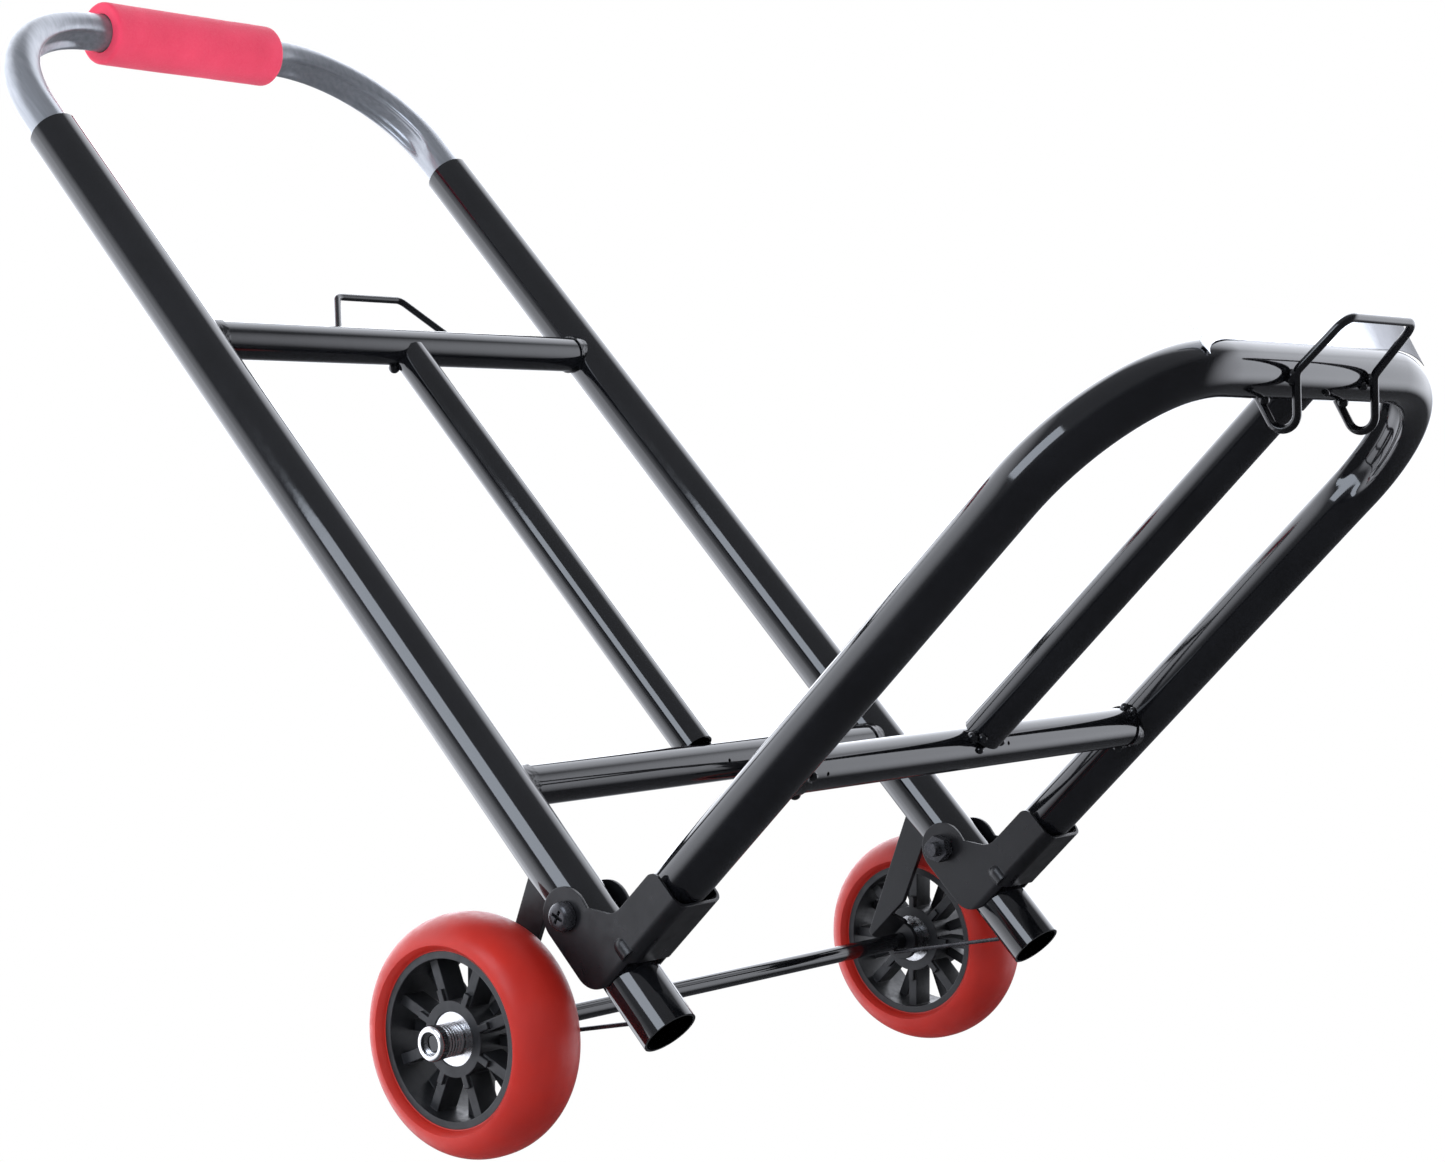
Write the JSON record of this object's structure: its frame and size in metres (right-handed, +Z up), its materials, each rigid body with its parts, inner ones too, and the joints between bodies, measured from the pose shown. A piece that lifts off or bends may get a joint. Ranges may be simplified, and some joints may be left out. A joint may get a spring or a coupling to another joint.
{
  "type": "folding hand truck",
  "caption": "Folding luggage hand truck: telescoping tube handle with foam grip, tube uprights, fold-up tube platform and small red wheels on a rear axle.",
  "frame": {"origin": "on the floor under the middle of the truck as it stands by itself, platform down", "axes": "+X to the truck's right seen from behind, +Y forward along the platform, +Z up; the uprights lean forward by the angle at which their lower ends and the toe hook's eyes meet the floor"},
  "size_m": [0.4306, 0.5586, 0.7486],
  "materials": {
    "frame_paint": "gloss",
    "zinc": "satin",
    "nylon": "satin",
    "bright_aluminium": "polished",
    "foam": "matte foam",
    "hub_plastic": "satin",
    "tyre_rubber": "satin"
  },
  "bodies": {
    "frame": {"upright_left": "frame_paint", "upright_right": "frame_paint", "crossbar_top": "frame_paint", "crossbar_lower": "frame_paint", "center_brace": "frame_paint", "frame_welds": "frame_paint", "rear_hook": "frame_paint", "guide_bush_left": "nylon", "guide_bush_right": "nylon", "pivot_bolt_left": "zinc", "pivot_bolt_right": "zinc", "pivot_nuts": "zinc", "wheel_arm_left": "frame_paint", "wheel_arm_right": "frame_paint", "axle_stay_left": "zinc", "axle_stay_right": "zinc", "axle_rod": "zinc", "axle_sleeves": "frame_paint", "axle_washers": "zinc", "lock_nuts": "zinc"},
    "handle": {"handle_tube": "bright_aluminium", "handle_plug_left": "nylon", "handle_plug_right": "nylon", "foam_grip": "foam"},
    "platform": {"platform_tube": "frame_paint", "platform_crossbar": "frame_paint", "platform_brace": "frame_paint", "platform_welds": "frame_paint", "toe_hook": "frame_paint", "toe_plate": "frame_paint", "hinge_bracket_left": "frame_paint", "hinge_bracket_right": "frame_paint"},
    "wheel_left": {"hub_left": "hub_plastic", "tyre_left": "tyre_rubber", "wheel_bushes_left": "zinc"},
    "wheel_right": {"hub_right": "hub_plastic", "tyre_right": "tyre_rubber", "wheel_bushes_right": "zinc"}
  },
  "joints": [
    {"name": "handle_slide", "type": "slide", "parent": "frame", "child": "handle", "axis": [0, 0.0435, 0.9991], "range_m": [0, 0.27]},
    {"name": "platform_fold", "type": "hinge", "parent": "frame", "child": "platform", "pos_m": [0, -0.14713, 0.07254], "axis": [1, 0, 0], "range_deg": [0, 89]},
    {"name": "wheel_left_spin", "type": "hinge", "parent": "frame", "child": "wheel_left", "pos_m": [-0.1858, -0.22081, 0.06554], "axis": [1, 0, 0], "continuous": true},
    {"name": "wheel_right_spin", "type": "hinge", "parent": "frame", "child": "wheel_right", "pos_m": [0.1858, -0.22081, 0.06554], "axis": [1, 0, 0], "continuous": true}
  ]
}
